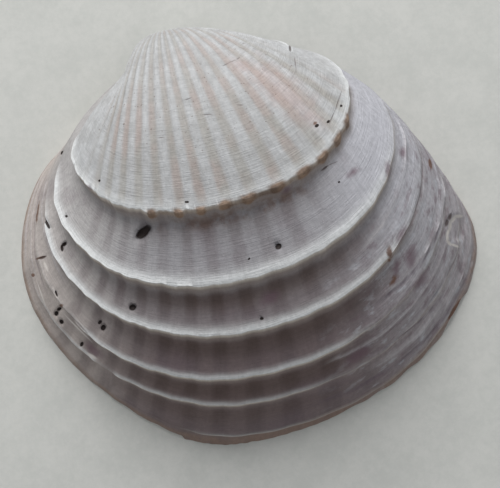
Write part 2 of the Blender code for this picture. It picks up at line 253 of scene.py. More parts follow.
def margin_curve(margin):
    """The closed outline of a margin given as directions and distances from the beak."""
    directions, distances = np.array(margin).T
    across = np.radians(directions)
    points = np.column_stack([distances * np.cos(across), distances * np.sin(across)])
    points = np.vstack([[0.0, 0.0], points, [0.0, 0.0]])
    spans = [LUNULE_SPAN] * 2 + [MARGIN_SPAN] * (len(margin) - 2) + [ESCUTCHEON_SPAN]
    knots = np.concatenate([[0.0], np.cumsum(spans)])
    return natural_spline(knots / knots[-1], points)


adult = margin_curve(ADULT_MARGIN)
young = margin_curve(YOUNG_MARGIN)


def smooth_step(value):
    """Zero below 0, one above 1, and 3v^2 - 2v^3 between."""
    value = np.clip(value, 0.0, 1.0)
    return value * value * (3.0 - 2.0 * value)


def window(value, low, high, fade):
    """One between low and high, and falling smoothly to zero at them."""
    return smooth_step((value - low) / fade) * smooth_step((high - value) / fade)


def hump(value, middle, width):
    """A bell of height one: e to the minus square of the distance from the middle in widths."""
    return np.exp(-(((value - middle) / width) ** 2))


def wander(value, seed, lowest, highest, waves=7):
    """A seeded unevenness between about -1 and 1: the mean of cosines of random pitch and phase, doubled."""
    random = np.random.default_rng(seed)
    pitches = random.uniform(lowest, highest, waves)
    phases = random.uniform(0.0, 2.0 * math.pi, waves)
    total = sum(np.cos(2.0 * math.pi * pitch * value + phase) for pitch, phase in zip(pitches, phases))
    return 2.0 * total / waves


def slimness(place, share):
    """How much slimmer the young shell is at the front, below the beak: a hump of place and one of share."""
    side = SLIM_SIDE[0] * hump(place, *SLIM_SIDE[1:])
    dome = SLIM_DOME[0] * hump(share, *SLIM_DOME[1:]) * smooth_step((0.32 - place) / 0.14)
    return np.minimum(side + dome, SLIM_MOST) * smooth_step((SLIM_UNTIL - share) / 0.08)


def growth(place, share):
    """The smooth outside: the margin of that share, its outline scaled by the share and turned up about
    the x axis by TURN times one minus the share to the TURN_POWER, and slimmer at the young front."""
    youth = np.clip((1.0 - share) / (1.0 - YOUNG_SHARE), 0.0, 1.0)[..., None]
    flat = (adult(place) * (1.0 - youth) + young(place) * youth) * share[..., None]
    turn = TURN * (1.0 - share**TURN_POWER)
    x, y = flat[..., 0] * (1.0 - slimness(place, share)), flat[..., 1]
    return np.stack([x, y * np.cos(turn), -y * np.sin(turn)], axis=-1)


def outward(place, share):
    """The unit normal of the smooth outside: the run towards the edge crossed with the run round it."""
    nudge = 1e-4
    along = growth(place + nudge, share) - growth(place - nudge, share)
    older = growth(place, share + nudge) - growth(place, share - nudge)
    normal = np.cross(older, along)
    return normal / np.linalg.norm(normal, axis=-1, keepdims=True)


def rib_count(place):
    """How many grooves lie before the place, with the part of the next one: whole numbers are grooves."""
    return np.interp(place, GROOVES, np.arange(len(GROOVES)))


def rib_wave(place):
    """One on a rib and minus one in a groove."""
    return -np.cos(2.0 * math.pi * rib_count(place)) * window(place, GROOVES[0], GROOVES[-1], 0.03)


def lump(place):
    """One on a lump of the young shell's edge and zero between them."""
    return sum(hump(place, at, LUMP_WIDTH) for at in LUMPS)


def ledge_share(ledge, place):
    """The share at which the ledge runs: a spline through its values, scalloped by the ribs and broken."""
    inside = np.clip(place, LEDGE_PLACES[0], LEDGE_PLACES[-1])
    run = natural_spline(LEDGE_PLACES, np.array(ledge["shares"])[:, None])(inside)[..., 0]
    size = np.interp(place, LEDGE_PLACES, ledge["depths"]) / DEEPEST
    broken = 0.0007 * wander(place, int(1000 * ledge["shares"][0]), 20.0, 90.0)
    return run + size * (0.0006 * rib_wave(place) + broken)


def lip_share(ledge, place):
    """The share of the ledge's outer lip, which the lumps push out on the young shell's edge."""
    return ledge_share(ledge, place) + (LUMP_REACH * lump(place) - 0.001 if ledge is LEDGES[1] else 0.0)


def ledge_depth(ledge, place):
    """The step's height: its depth along its stretch, and a low growth line past its ends."""
    depth = np.interp(place, LEDGE_PLACES, ledge["depths"])
    step = (depth - ledge["line"]) * window(place, *ledge["stretch"], LEDGE_FADE)
    step = step * (1.0 - window(place, *ledge.get("gap", (0.0, 0.0)), 0.006))
    return step + ledge["line"] * window(place, *LINE_STRETCH, LEDGE_FADE)


def edge_share(place):
    """The share of the edge: one, less the chip in the lower back edge, the broken fringe and its waves."""
    chip = CHIP_DEPTH * smooth_step(1.5 - abs(place - CHIP_AT) / CHIP_HALF_WIDTH)
    fringe = smooth_step((place - FRINGE_FROM) / 0.04) * smooth_step((FRINGE_TO - place) / 0.006)
    breaks = BREAK_DEPTH * (1.0 + wander(place, 11, 15.0, 70.0)) * window(place, 0.1, 0.8, 0.05)
    turns = 2.0 * math.pi * (place - LOBE_AT) / LOBE_PITCH
    lobes = LOBE_DEPTH * (1.0 - np.cos(turns)) * window(place, 0.55, 0.68, 0.02)
    frays = FRAY_DEPTH * (1.0 + wander(place, 12, 90.0, 130.0)) * window(place, 0.40, 0.57, 0.02)
    return 1.0 - chip - FRINGE_DEPTH * fringe - breaks - lobes - frays


def outside_rows(place):
    """Every row from the beak to the edge over all places: its shares, its heights, and its mm past a crest.

    A band's height is minus the depth of the ledge before it times one less the way across it to the
    HOLLOW_POWER, so it is hollow and rises to the next crest, which flares out. FACE leads down into it."""
    starts = [lip_share(ledge, place) for ledge in LEDGES]
    depths = [ledge_depth(ledge, place) for ledge in LEDGES]
    flares = [FLARE * np.clip(depth / DEEPEST, 0.0, 1.0) for depth in depths]
    steps = np.linspace(0.02, 1.0, UMBO_ROWS, endpoint=False)[:, None]
    share = starts[0] * steps
    shares = [share]
    heights = [flares[0] * np.exp((share - starts[0]) / FLARE_REACH)]
    pasts = [np.full_like(share, 9.0)]
    for number, (start, depth, flare) in enumerate(zip(starts, depths, flares)):
        last = number == len(LEDGES) - 1
        end = edge_share(place) if last else starts[number + 1]
        next_flare = 0.0 * flare if last else flares[number + 1]
        size = np.clip(depth / max(LEDGES[number]["depths"]), 0.3, 1.0)
        foot = np.minimum(LEDGES[number]["reach"] * size / MM_PER_SHARE / (end - start), 0.7)
        rows = BAND_ROWS // 2 if last else BAND_ROWS
        after = foot + (1.0 - foot) * np.linspace(0.0, 1.0, rows + 1)[1:-1, None]
        across = np.vstack([FACE[:, 0:1] * foot, after])
        down = np.vstack([FACE[:, 1:2], np.ones((rows - 1, 1))])
        share = start + (end - start) * across
        shares.append(share)
        hollow = flare * (1.0 - down) ** 2 - depth * down * (1.0 - across**HOLLOW_POWER)
        heights.append(hollow + next_flare * np.exp((share - end) / FLARE_REACH))
        pasts.append((share - start) * MM_PER_SHARE)
    shares.append(edge_share(place)[None])
    heights.append(np.zeros_like(place)[None])
    pasts.append(np.full_like(place, 2.0)[None])
    return np.vstack(shares), np.vstack(heights), np.vstack(pasts)


def rib_relief(place, share):
    """Ribs in mm: higher on the young shell, low across the bands."""
    height = np.where(share < 0.52, YOUNG_RIB * smooth_step(share / 0.2), BAND_RIB)
    return height * rib_wave(place)


def standing_line(place, share, lines):
    """One on any of the growth lines and zero away from them."""
    return sum(
        hump(share, at + (later - at) * (place - 0.60) / 0.10, half_width / MM_PER_SHARE)
        * window(place, first, last, 0.03)
        for at, later, half_width, first, last in lines
    )


def growth_lines(place, share):
    """Low rings in mm along the margins: the lines that stand out, and an unevenness of the share that is
    strongest at the back end."""
    at_back = window(place, 0.56, 0.86, 0.12) * smooth_step((share - 0.5) / 0.2)
    strength = RING_HEIGHT + BACK_RING_HEIGHT * at_back
    bent = share + 0.002 * wander(place, 5, 2.0, 9.0)
    pale = PALE_HEIGHT * standing_line(place, share, PALE_LINES)
    dark = DARK_DEPTH * standing_line(place, share, DARK_LINES)
    return pale - dark + strength * wander(bent, 21, 25.0, 70.0, waves=9)


def unevenness(place, share):
    """Broad swells in mm, an unevenness of place times one of share."""
    return SWELL_HEIGHT * wander(place, 31, 3.0, 16.0) * wander(share, 32, 3.0, 14.0)


def oval(x, y, spot):
    """Distance from a spot's middle in its own half lengths and half widths, one on its rim."""
    middle_x, middle_y, length, width, turn = spot[:5]
    cos, sin = math.cos(math.radians(turn)), math.sin(math.radians(turn))
    along = (x - middle_x) * cos + (y - middle_y) * sin
    aside = (y - middle_y) * cos - (x - middle_x) * sin
    return np.hypot(along / (0.5 * length), aside / (0.5 * width))


def hole_relief(x, y):
    """Each hole in mm: its depth inside its oval, rising steeply to zero past the rim."""
    holes = sum(hole[5] * smooth_step(1.8 - oval(x, y, hole)) for hole in HOLES)
    return -holes - FLAKE[5] * smooth_step(3.0 * (1.0 - oval(x, y, FLAKE)))


beak = np.array([cad_low[0], cad_low[1], 0.0]) / MM
beak[:2] -= adult(np.linspace(0.0, 1.0, 4001)).min(axis=0)
columns = np.concatenate([
    RIBBED_FROM * np.linspace(0.0, 1.0, LUNULE_COLUMNS, endpoint=False)[1:] ** 1.3,
    np.linspace(RIBBED_FROM, RIBBED_TO, RIBBED_COLUMNS, endpoint=False),
    1.0 - (1.0 - RIBBED_TO) * np.linspace(1.0, 0.0, ESCUTCHEON_COLUMNS, endpoint=False) ** 1.3,
])
shares, heights, pasts = outside_rows(columns)
places = np.broadcast_to(columns, shares.shape)
heights = heights + rib_relief(places, shares) + growth_lines(places, shares)
heights = heights + unevenness(places, shares)
heights = heights * smooth_step(shares / 0.08) * smooth_step((1.0 - shares) / 0.012 + 0.25)
normals = outward(places, shares)
outside = growth(places, shares) + normals * heights[..., None]
holes = hole_relief(outside[..., 0] + beak[0], outside[..., 1] + beak[1])
outside = outside + normals * holes[..., None]
outside[..., 2] = np.maximum(outside[..., 2], 0.0)

# The flat edge, the hinge plate with the sockets between its teeth, and the bowl, in that order inwards.
BOWL_CENTRE = np.array([3.0, -27.0])
BOWL_REACH = (27.0, 16.6, 13.6, 15.4, 17.8, 22.6, 28.3, 30.6, 32.4, 33.4, 35.0, 36.9)
BOWL_HEIGHT = 17.5
BOWL_POWER, BOWL_HINGE_POWER = 1.9, 4.4
EDGE_ROWS, BOWL_ROWS = 12, 22
SOCKETS = [(-54.0, 4.2, 6.4, 1.8), (-84.0, 3.2, 5.2, 2.2), (-120.0, 3.6, 4.8, 1.6)]
SOCKET_DEPTH = 1.6


def socket_height(flat):
    """How far the hinge plate is hollowed: each socket is a slot with round ends, deep inside its line."""
    height = np.zeros(flat.shape[:-1])
    for direction, start, length, width in SOCKETS:
        cos, sin = math.cos(math.radians(direction)), math.sin(math.radians(direction))
        along = flat[..., 0] * cos + flat[..., 1] * sin
        aside = flat[..., 1] * cos - flat[..., 0] * sin
        past = along - np.clip(along, start + 0.5 * width, start + length - 0.5 * width)
        height = height + SOCKET_DEPTH * smooth_step((0.6 * width - np.hypot(past, aside)) / (0.45 * width))
    return height


def inside_rows(place, edge):
    """The rows from the edge inwards: flat to the bowl's rim, then a bowl whose height is BOWL_HEIGHT
    times one less the way out to its rim, to a power that is higher towards the hinge."""
    out = adult(place) - BOWL_CENTRE
    direction = np.arctan2(out[:, 1], out[:, 0])
    turns = np.linspace(-2.0 * math.pi, 2.0 * math.pi, 2 * len(BOWL_REACH) + 1)
    reaches = np.array(BOWL_REACH + BOWL_REACH + BOWL_REACH[:1])[:, None]
    reach = natural_spline(turns, reaches)(direction)
    rim = BOWL_CENTRE + reach * np.column_stack([np.cos(direction), np.sin(direction)])
    power = BOWL_POWER + (BOWL_HINGE_POWER - BOWL_POWER) * np.clip(np.sin(direction), 0.0, 1.0)
    steps = np.linspace(0.0, 1.0, EDGE_ROWS + 1)[1:-1, None, None]
    flat = edge[None, :, :2] * (1.0 - steps) + rim[None] * steps
    height = edge[None, :, 2] * (1.0 - steps[..., 0]) ** 2 + socket_height(flat)
    plate = np.concatenate([flat, height[..., None]], axis=-1)
    steps = np.linspace(1.0, 0.0, BOWL_ROWS, endpoint=False)[:, None]
    flat = BOWL_CENTRE + (rim - BOWL_CENTRE)[None] * steps[..., None]
    bowl = np.concatenate([flat, (BOWL_HEIGHT * (1.0 - steps**power))[..., None]], axis=-1)
    return np.concatenate([plate, bowl])


with_hinge = np.concatenate([[0.0], columns])
edge_ring = np.vstack([[0.0, 0.0, 0.0], outside[-1]])
inside = inside_rows(with_hinge, edge_ring)
top = np.append(BOWL_CENTRE, BOWL_HEIGHT)


def between(rows):
    """Four-cornered faces between neighbours of a grid of point numbers."""
    corners = [rows[:-1, :-1], rows[1:, :-1], rows[1:, 1:], rows[:-1, 1:]]
    return np.stack(corners, axis=-1).reshape(-1, 4)


points = np.vstack([[0.0, 0.0, 0.0], outside.reshape(-1, 3), inside.reshape(-1, 3), top])
points = (points + beak) * MM
outer = 1 + np.arange(outside[..., 0].size).reshape(outside.shape[:2])
inner = 1 + outer.size + np.arange(inside[..., 0].size).reshape(inside.shape[:2])
hinge, peak = 0, len(points) - 1
ring = np.vstack([np.append(hinge, outer[-1]), inner])
ring = np.column_stack([ring, ring[:, 0]])
quads = np.vstack([between(outer), between(ring)])
fans = np.vstack([
    np.column_stack([np.full(len(outer) - 1, hinge), outer[1:, 0], outer[:-1, 0]]),
    np.column_stack([np.full(len(outer) - 1, hinge), outer[:-1, -1], outer[1:, -1]]),
    np.column_stack([np.full(outer.shape[1] - 1, hinge), outer[0, :-1], outer[0, 1:]]),
    np.column_stack([ring[-1, :-1], np.full(inner.shape[1], peak), ring[-1, 1:]]),
])
mesh = bpy.data.meshes.new("worn_valve")
mesh.from_pydata(points.tolist(), [], quads.tolist() + fans.tolist())
valve = bpy.data.objects.new("worn_valve", mesh)
bpy.context.scene.collection.objects.link(valve)
mesh.shade_smooth()
mesh.set_sharp_from_angle(angle=math.radians(50.0))


def mark(name, on_outside, on_inside=0.0):
    """Keeps a value for each point of the outside and the inside as an attribute of the mesh."""
    values = np.zeros(len(points), dtype=np.float32)
    values[outer] = on_outside
    values[inner] = on_inside
    mesh.attributes.new(name, "FLOAT", "POINT").data.foreach_set("value", values)


def crest_mask(place, share):
    """One on a crest, fading in over the flare before it and gone just past it, weaker on low ledges. The
    white there is partly the pale worn edge and partly painted highlight where the flare faces the light.
    """
    mask = 0.0
    for ledge, width in zip(LEDGES, CREST_WIDTHS):
        before = (lip_share(ledge, place) - share) * MM_PER_SHARE
        strength = np.clip(ledge_depth(ledge, place) / 1.2, 0.0, 1.0)
        mask = mask + strength * np.where(before > 0.0, hump(before, 0.0, width), hump(before, 0.0, 0.16))
    return mask


def lump_mask(place, share):
    """One on the brown lumps and less on the broken lip between them, along the young shell's edge."""
    past = (share - lip_share(LEDGES[1], place)) * MM_PER_SHARE
    across = smooth_step((past + 0.85) / 0.7) * smooth_step((1.3 - past) / 0.7)
    between_lumps = 0.45 * smooth_step((past - 0.05) / 0.2)
    along = np.maximum(np.minimum(lump(place), 1.0), between_lumps)
    return across * along * window(place, 0.365, 0.70, 0.02)


def ledge_strength(place, share):
    """How high the last ledge before a point is there, one for 1.2 mm and more."""
    strength = np.zeros_like(share)
    for ledge in LEDGES[1:]:
        past = share >= ledge_share(ledge, place) - 1e-6
        strength = np.where(past, np.clip(ledge_depth(ledge, place) / 1.2, 0.0, 1.0), strength)
    return strength


# Where the ribs' colours start and end round the margin, and then all the values that the materials use.
rib_start = RIBBED_FROM + 0.08 * smooth_step((shares - 0.20) / 0.25)
rib_end = 0.74 - 0.12 * smooth_step((shares - 0.50) / 0.03)
rib_strength = smooth_step((places - rib_start) / 0.08) * smooth_step((rib_end - places) / 0.06)
rib_strength = rib_strength * smooth_step(shares / 0.12)
mark("place", places)
mark("share", shares)
mark("rib", rib_count(places))
mark("rib_strength", rib_strength)
mark("crest", crest_mask(places, shares))
mark("past", pasts)
mark("ledge", ledge_strength(places, shares))
mark("lump", lump_mask(places, shares))
mark("pale_line", standing_line(places, shares, PALE_LINES))
mark("dark_line", standing_line(places, shares, DARK_LINES))
bowl_steps = np.append(np.full(EDGE_ROWS - 1, 1.2), np.linspace(1.0, 0.0, BOWL_ROWS, endpoint=False))
mark("bowl_step", 0.0, np.broadcast_to(bowl_steps[:, None], inner.shape))


def sRGB(red, green, blue):
    """The linear colour of three screen values from 0 to 255."""
    screen = np.array([red, green, blue]) / 255.0
    linear = np.where(screen <= 0.04045, screen / 12.92, ((screen + 0.055) / 1.055) ** 2.4)
    return (*linear.tolist(), 1.0)


def node(tree, kind, inputs, **settings):
    """A node with its settings, whose inputs are values or the outputs of other nodes."""
    made = tree.nodes.new(kind)
    for name, value in settings.items():
        setattr(made, name, value)
    for name, value in inputs.items():
        if isinstance(value, bpy.types.NodeSocket):
            tree.links.new(value, made.inputs[name])
        else:
            made.inputs[name].default_value = value
    return made


def maths(tree, operation, first, second=0.0, third=0.0):
    """The result of one step of arithmetic."""
    return node(tree, "ShaderNodeMath", {0: first, 1: second, 2: third}, operation=operation).outputs[0]


def product(tree, first, *others):
    """All the values multiplied together."""
    for other in others:
        first = maths(tree, "MULTIPLY", first, other)
    return first


def blend(tree, amount, first, second, kind="MIX"):
    """From the first colour at amount zero to the second at one."""
    inputs = {0: amount, 6: first, 7: second}
    return node(tree, "ShaderNodeMix", inputs, data_type="RGBA", blend_type=kind).outputs[2]


def ramp(tree, value, low, high, to_low=0.0, to_high=1.0):
    """An even s-curve between two values, from to_low at low to to_high at high."""
    inputs = {"Value": value, "From Min": low, "From Max": high, "To Min": to_low, "To Max": to_high}
    return node(tree, "ShaderNodeMapRange", inputs, interpolation_type="SMOOTHSTEP").outputs[0]


def attribute(tree, name):
    """A value that mark() kept in the mesh."""
    return node(tree, "ShaderNodeAttribute", {}, attribute_name=name).outputs["Fac"]


def noise(tree, vector, scale, detail=3.0, roughness=0.55):
    """A cloudy value about 0.5, with scale clouds to each unit of the vector."""
    inputs = {"Vector": vector, "Scale": scale, "Detail": detail, "Roughness": roughness}
    return node(tree, "ShaderNodeTexNoise", inputs).outputs["Fac"]


def scaled(tree, vector, factors):
    """The vector with each of its parts multiplied by its own factor."""
    return node(tree, "ShaderNodeVectorMath", {0: vector, 1: factors}, operation="MULTIPLY").outputs[0]


def nearest_oval(tree, body, spots):
    """Distance to the nearest of the spots in their half sizes, one on a rim, as seen from above."""
    nearest = 1e6
    for x, y, length, width, turn in (spot[:5] for spot in spots):
        inputs = {0: body, 1: (x * MM, y * MM, 0.0)}
        away = node(tree, "ShaderNodeVectorMath", inputs, operation="SUBTRACT").outputs[0]
        cos, sin = math.cos(math.radians(turn)) / MM, math.sin(math.radians(turn)) / MM
        inputs = {0: away, 1: (2.0 * cos / length, 2.0 * sin / length, 0.0)}
        along = node(tree, "ShaderNodeVectorMath", inputs, operation="DOT_PRODUCT").outputs["Value"]
        inputs = {0: away, 1: (-2.0 * sin / width, 2.0 * cos / width, 0.0)}
        aside = node(tree, "ShaderNodeVectorMath", inputs, operation="DOT_PRODUCT").outputs["Value"]
        squared = maths(tree, "MULTIPLY_ADD", along, along, maths(tree, "MULTIPLY", aside, aside))
        nearest = maths(tree, "MINIMUM", squared, nearest)
    return maths(tree, "SQRT", nearest)


def marked(tree, colour, body, shifted, spots, mark_colour, strength, inner=0.7, outer=1.25):
    """The colour with another on the spots, whose rims are ragged."""
    away = maths(tree, "ADD", nearest_oval(tree, body, spots), shifted)
    return blend(tree, ramp(tree, away, outer, inner, 0.0, strength), colour, mark_colour)


# The colours of the outside, as screen values.
GROOVE_OLIVE, GROOVE_BROWN = sRGB(146, 140, 129), sRGB(160, 144, 136)
RIB_GREY, RIB_WHITE = sRGB(168, 168, 168), sRGB(182, 183, 184)
PINK = sRGB(184, 154, 148)
BAND_GREY, BAND_BROWN = sRGB(152, 150, 153), sRGB(122, 108, 108)
BACK_GREY, BACK_MAUVE = sRGB(178, 178, 184), sRGB(166, 160, 163)
FRONT_GREY, FRONT_BEIGE = sRGB(166, 163, 162), sRGB(188, 178, 172)
STRIPE_BROWN, BLOTCH_MAUVE = sRGB(100, 88, 90), sRGB(112, 96, 104)
STREAK_MAUVE, STREAK_WHITE = sRGB(116, 97, 104), sRGB(190, 192, 198)
# The trough colours are partly the shell's dirty brown and partly painted shade below the ledges.
TROUGH_BROWN_AND_SHADE, TROUGH_GROOVE_DARK_AND_SHADE, SMUDGE_BROWN = sRGB(101, 84, 78), sRGB(80, 64, 58), sRGB(108, 86, 76)
# The crest's white is partly the pale worn edge and partly painted highlight.
FACE_BEIGE, LIP_CREAM, CREST_WHITE_AND_HIGHLIGHT = sRGB(150, 137, 129), sRGB(200, 190, 178), sRGB(212, 214, 214)
LUMP_TAN, LUMP_BROWN, FRINGE_TAN = sRGB(150, 122, 98), sRGB(100, 76, 58), sRGB(146, 124, 110)
LINE_WHITE, LINE_MAUVE = sRGB(196, 192, 194), sRGB(104, 90, 100)
MARK_MAUVE, RUST, CHALK = sRGB(108, 84, 94), sRGB(104, 70, 50), sRGB(214, 208, 202)
CRACK_BROWN, CREVICE_BROWN = sRGB(96, 80, 76), sRGB(76, 62, 58)
# The holes' colour is dark brown with painted shade for the inside of a hole.
PIT_BROWN, HOLE_BROWN_AND_SHADE = sRGB(96, 80, 70), sRGB(38, 27, 24)


def worn_outside():
    """The outside: pale ribs and beige grooves on the young shell, then grey to mauve-brown bands with
    white crests, partly painted highlight, and brown broken lips over troughs with painted shade, marked by
    holes, darkened for the shade in them, rust and scratches."""
    material = bpy.data.materials.new("worn_outside")
    material.use_nodes = True
    tree = material.node_tree
    surface = tree.nodes["Principled BSDF"]
    place = attribute(tree, "place")
    share = attribute(tree, "share")
    rib = attribute(tree, "rib")
    strength = attribute(tree, "rib_strength")
    crest = attribute(tree, "crest")
    past = attribute(tree, "past")
    ledge = attribute(tree, "ledge")
    flat = node(tree, "ShaderNodeCombineXYZ", {0: place, 1: share}).outputs[0]
    body = scaled(tree, node(tree, "ShaderNodeTexCoord", {}).outputs["Object"], (1.0, 1.0, 1.0))

    # Unevenness of several sizes, and the threads of growth along and across the margins.
    blotches = noise(tree, body, 110.0, 4.0)
    patches = noise(tree, body, 330.0, 5.0, 0.65)
    grain = noise(tree, body, 1400.0, 3.0, 0.7)
    threads = noise(tree, scaled(tree, flat, (26.0, 360.0, 0.0)), 1.0, 4.0, 0.7)
    fibres = noise(tree, scaled(tree, flat, (330.0, 26.0, 0.0)), 1.0, 3.0, 0.65)

    # The young shell: pale ribs with darker grooves, whose edges are worn uneven.
    wave = maths(tree, "COSINE", maths(tree, "MULTIPLY", rib, 2.0 * math.pi))
    wobble = maths(tree, "MULTIPLY_ADD", patches, 1.6, -0.8)
    groove = ramp(tree, maths(tree, "ADD", wave, wobble), -0.6, 0.9)
    worn = product(tree, strength, ramp(tree, blotches, 0.3, 0.6, 0.6, 1.0))
    groove = product(tree, groove, worn)
    groove_colour = blend(tree, ramp(tree, blotches, 0.4, 0.6), GROOVE_OLIVE, GROOVE_BROWN)
    rib_colour = blend(tree, ramp(tree, patches, 0.35, 0.65), RIB_GREY, RIB_WHITE)
    depth = ramp(tree, share, 0.15, 0.45, 0.5, 0.7)
    young_colour = blend(tree, product(tree, groove, depth), rib_colour, groove_colour)
    young_colour = marked(tree, young_colour, body, wobble, PINK_MARKS, PINK, 0.36, 0.1, 1.5)

    # The bands: greyer at both ends, striped by the ribs, and streaked at the back.
    band_colour = blend(tree, ramp(tree, share, 0.60, 0.80), BAND_GREY, BAND_BROWN)
    back_colour = blend(tree, ramp(tree, share, 0.60, 1.0), BACK_GREY, BACK_MAUVE)
    band_colour = blend(tree, ramp(tree, place, 0.55, 0.68), band_colour, back_colour)
    front_colour = blend(tree, ramp(tree, share, 0.60, 0.95), FRONT_GREY, FRONT_BEIGE)
    band_colour = blend(tree, ramp(tree, place, 0.42, 0.24), band_colour, front_colour)
    stripes = product(tree, groove, ramp(tree, share, 0.62, 0.70, 0.35, 0.5))
    band_colour = blend(tree, stripes, band_colour, STRIPE_BROWN)
    band_colour = blend(tree, ramp(tree, blotches, 0.5, 0.75, 0.0, 0.4), band_colour, BLOTCH_MAUVE)
    streaks = noise(tree, scaled(tree, flat, (62.0, 58.0, 0.0)), 1.0, 4.0, 0.6)
    old_back = product(tree, ramp(tree, place, 0.54, 0.62), ramp(tree, share, 0.62, 0.76))
    dark_streaks = product(tree, ramp(tree, streaks, 0.52, 0.64, 0.0, 0.55), old_back)
    band_colour = blend(tree, dark_streaks, band_colour, STREAK_MAUVE)
    pale_streaks = product(tree, ramp(tree, streaks, 0.46, 0.34, 0.0, 0.6), old_back)
    band_colour = blend(tree, pale_streaks, band_colour, STREAK_WHITE)
    colour = blend(tree, ramp(tree, share, 0.505, 0.525), young_colour, band_colour)

    # Below a ledge: its trough, painted brown and dark for dirt and for the shade below the ledge, darker
    # still in the grooves, with brown smudges below the lumps.
    trough_dirt_and_shade = product(tree, ramp(tree, past, 0.9, 2.8), ramp(tree, past, 7.0, 3.2))
    trough_dirt_and_shade = product(tree, trough_dirt_and_shade, ledge, ramp(tree, share, 0.6, 0.68, 0.2, 0.75))
    trough_dirt_and_shade = product(tree, trough_dirt_and_shade, ramp(tree, place, 0.28, 0.44, 0.2, 1.0))
    trough_dirt_and_shade = product(tree, trough_dirt_and_shade, ramp(tree, place, 0.68, 0.55, 0.1, 1.0))
    colour = blend(tree, trough_dirt_and_shade, colour, TROUGH_BROWN_AND_SHADE)
    colour = blend(tree, product(tree, groove, trough_dirt_and_shade, 0.7), colour, TROUGH_GROOVE_DARK_AND_SHADE)
    below_lumps = product(tree, ramp(tree, place, 0.36, 0.42), ramp(tree, place, 0.62, 0.56))
    smudge = product(tree, ramp(tree, past, 0.9, 1.5), ramp(tree, past, 4.2, 2.4))
    first_band = product(tree, ramp(tree, share, 0.58, 0.56), ledge)
    smudge = product(tree, smudge, first_band, ramp(tree, patches, 0.40, 0.62, 0.0, 0.8))
    colour = blend(tree, product(tree, smudge, below_lumps), colour, SMUDGE_BROWN)

    # The ledge itself: its beige face, cream lip, white crest, which is partly painted highlight, and brown
    # lumps, and the growth lines.
    face = product(tree, ramp(tree, past, 2.6, 0.6), ledge)
    colour = blend(tree, product(tree, face, 0.8), colour, FACE_BEIGE)
    lip = product(tree, ramp(tree, past, 1.0, 0.2), ledge)
    colour = blend(tree, lip, colour, LIP_CREAM)
    colour = blend(tree, product(tree, attribute(tree, "pale_line"), 0.6), colour, LINE_WHITE)
    colour = blend(tree, product(tree, attribute(tree, "dark_line"), 0.6), colour, LINE_MAUVE)
    worn_crest_and_highlight = product(tree, crest, ramp(tree, patches, 0.2, 0.5, 0.7, 1.0))
    colour = blend(tree, worn_crest_and_highlight, colour, CREST_WHITE_AND_HIGHLIGHT)
    lump_colour = blend(tree, ramp(tree, patches, 0.35, 0.65), LUMP_TAN, LUMP_BROWN)
    low_lump = maths(tree, "SUBTRACT", attribute(tree, "lump"), 0.45)
    ragged_lump = maths(tree, "MULTIPLY_ADD", patches, 0.9, low_lump)
    colour = blend(tree, ramp(tree, ragged_lump, 0.15, 0.75, 0.0, 0.9), colour, lump_colour)
    fringe = product(tree, ramp(tree, share, 0.972, 0.988), ramp(tree, patches, 0.3, 0.6, 0.35, 0.75))
    colour = blend(tree, fringe, colour, FRINGE_TAN)

    # The threads of growth and a fine speckle, stronger at both ends.
    weave = maths(tree, "MULTIPLY_ADD", threads, 0.6, product(tree, fibres, 0.4))
    weave = maths(tree, "SUBTRACT", ramp(tree, weave, 0.3, 0.7), 0.5)
    at_back = ramp(tree, place, 0.56, 0.66, 0.2, 0.42)
    at_front = ramp(tree, place, 0.28, 0.2, 0.2, 0.36)
    weave = maths(tree, "MULTIPLY_ADD", weave, maths(tree, "MAXIMUM", at_back, at_front), 1.0)
    speckle = ramp(tree, grain, 0.3, 0.7, 0.94, 1.06)
    colour = blend(tree, 1.0, colour, product(tree, weave, speckle), "MULTIPLY")

    # The marks: stains, chalky scars, cracks, crevices, tiny pits near the beak, and holes, whose dark brown
    # is partly painted shade inside them.
    shifted = maths(tree, "MULTIPLY_ADD", noise(tree, body, 900.0, 3.0), 1.0, -0.5)
    ragged = maths(tree, "MULTIPLY_ADD", patches, 2.4, -1.2)
    colour = marked(tree, colour, body, ragged, MAUVE_MARKS, MARK_MAUVE, 0.7, 0.1, 1.5)
    ragged = maths(tree, "ADD", shifted, ragged)
    colour = marked(tree, colour, body, ragged, RUST_MARKS, RUST, 0.85, 0.5, 1.2)
    colour = marked(tree, colour, body, 0.0, PALE_MARKS, CHALK, 0.85, 0.5, 1.5)
    crack = maths(tree, "ADD", nearest_oval(tree, body, CRACKS), product(tree, shifted, 2.0))
    crack = ramp(tree, crack, 1.5, 0.4, 0.0, 0.5)
    colour = blend(tree, crack, colour, CRACK_BROWN)
    crevice = ramp(tree, nearest_oval(tree, body, CREVICES), 1.5, 0.5, 0.0, 0.8)
    colour = blend(tree, crevice, colour, CREVICE_BROWN)
    pits = ramp(tree, noise(tree, body, 2100.0, 2.0), 0.66, 0.72)
    pits = product(tree, pits, ramp(tree, share, 0.48, 0.4), ramp(tree, share, 0.18, 0.25))
    colour = blend(tree, product(tree, pits, 0.55), colour, PIT_BROWN)
    hole = maths(tree, "MULTIPLY_ADD", shifted, 0.6, nearest_oval(tree, body, HOLES))
    hole = ramp(tree, hole, 1.25, 0.85)
    colour = blend(tree, hole, colour, HOLE_BROWN_AND_SHADE)

